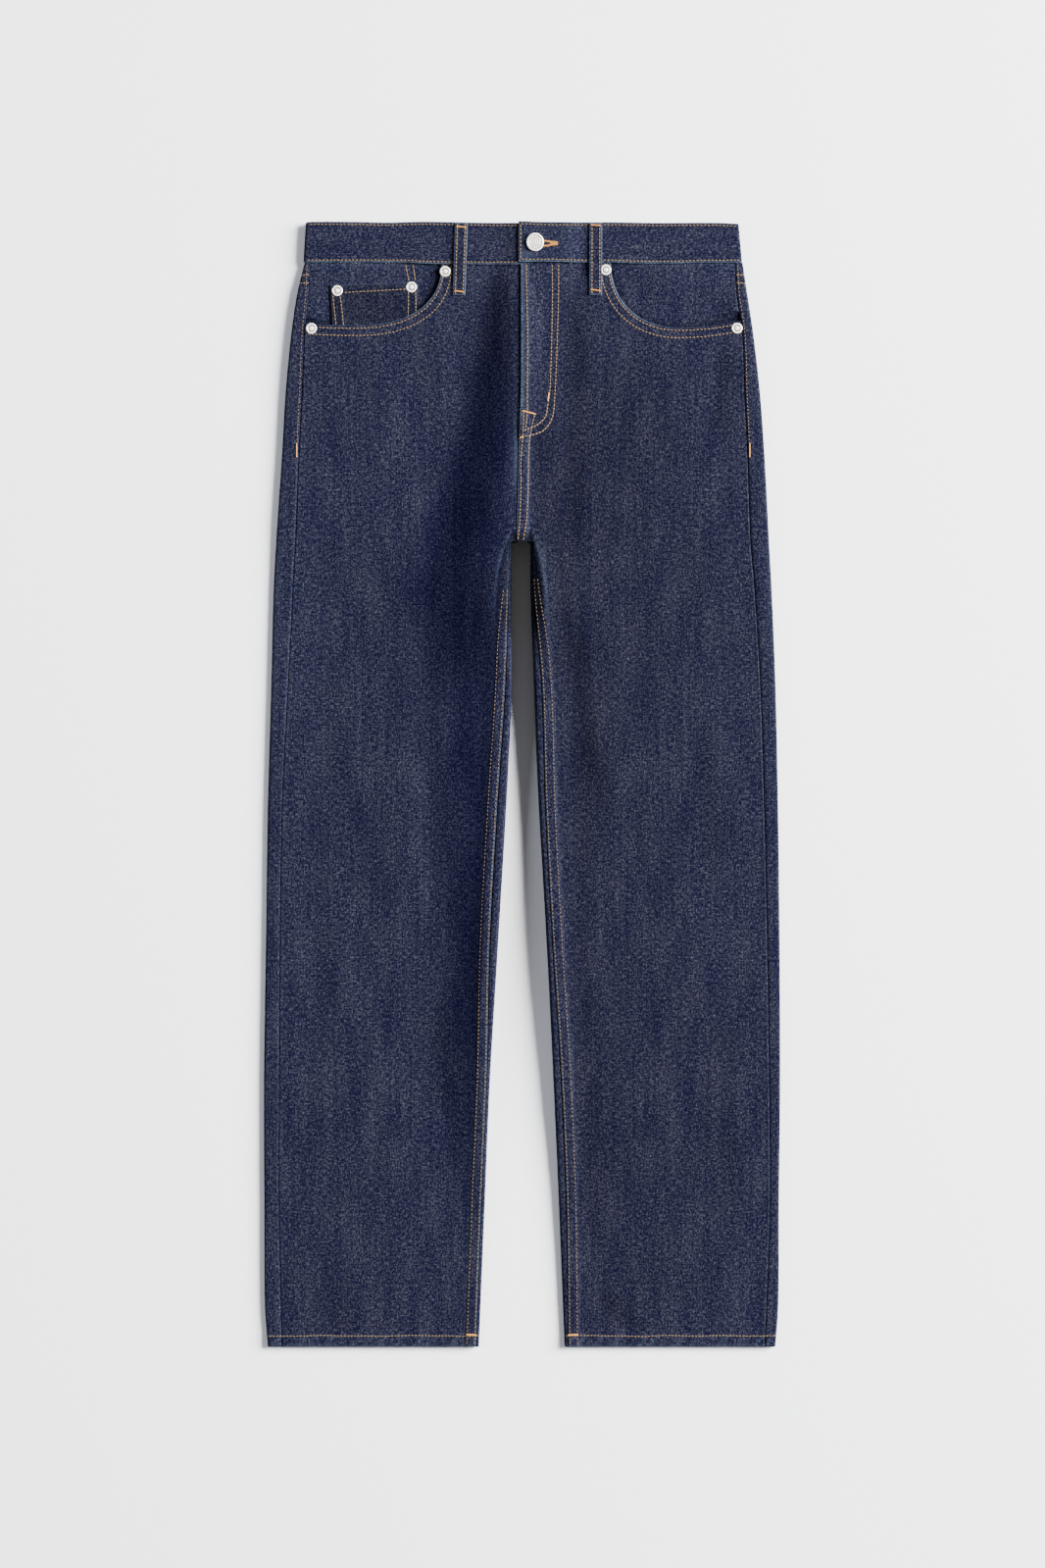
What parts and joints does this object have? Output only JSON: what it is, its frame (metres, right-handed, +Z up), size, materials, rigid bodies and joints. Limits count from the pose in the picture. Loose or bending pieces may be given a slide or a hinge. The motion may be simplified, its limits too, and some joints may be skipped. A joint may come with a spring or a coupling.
{
  "type": "straight leg jeans",
  "caption": "Straight leg denim jeans laid flat on their back, fastened at the waist, with curved front pockets, coin pocket, belt loops, back yoke and patch pockets.",
  "frame": {"origin": "middle of the garment's length and width, on the surface that it lies on", "axes": "+Y from the hems to the waist, +X from the wearer's right to the wearer's left, +Z up, out of the garment's front"},
  "size_m": [0.5007, 1.09, 0.0331],
  "materials": {
    "denim": "dark indigo twill, rinsed, matt",
    "nickel": "silver-coloured nickel, satin",
    "thread": "tan topstitching thread"
  },
  "bodies": {
    "root": {"front_panel_right": "denim", "front_panel_left": "denim", "back_panel_right": "denim", "back_panel_left": "denim", "back_yoke_right": "denim", "back_yoke_left": "denim", "pocket_facing_right": "denim", "pocket_facing_left": "denim", "back_pocket_right": "denim", "back_pocket_left": "denim", "coin_pocket": "denim", "waistband": "denim", "belt_loop_front_right": "denim", "belt_loop_front_left": "denim", "belt_loop_back_right": "denim", "belt_loop_back_centre": "denim", "belt_loop_back_left": "denim", "rivet_right_side": "nickel", "rivet_right_waist": "nickel", "rivet_coin_outer": "nickel", "rivet_coin_inner": "nickel", "rivet_left_waist": "nickel", "rivet_left_side": "nickel", "waist_button": "nickel"}
  },
  "joints": []
}
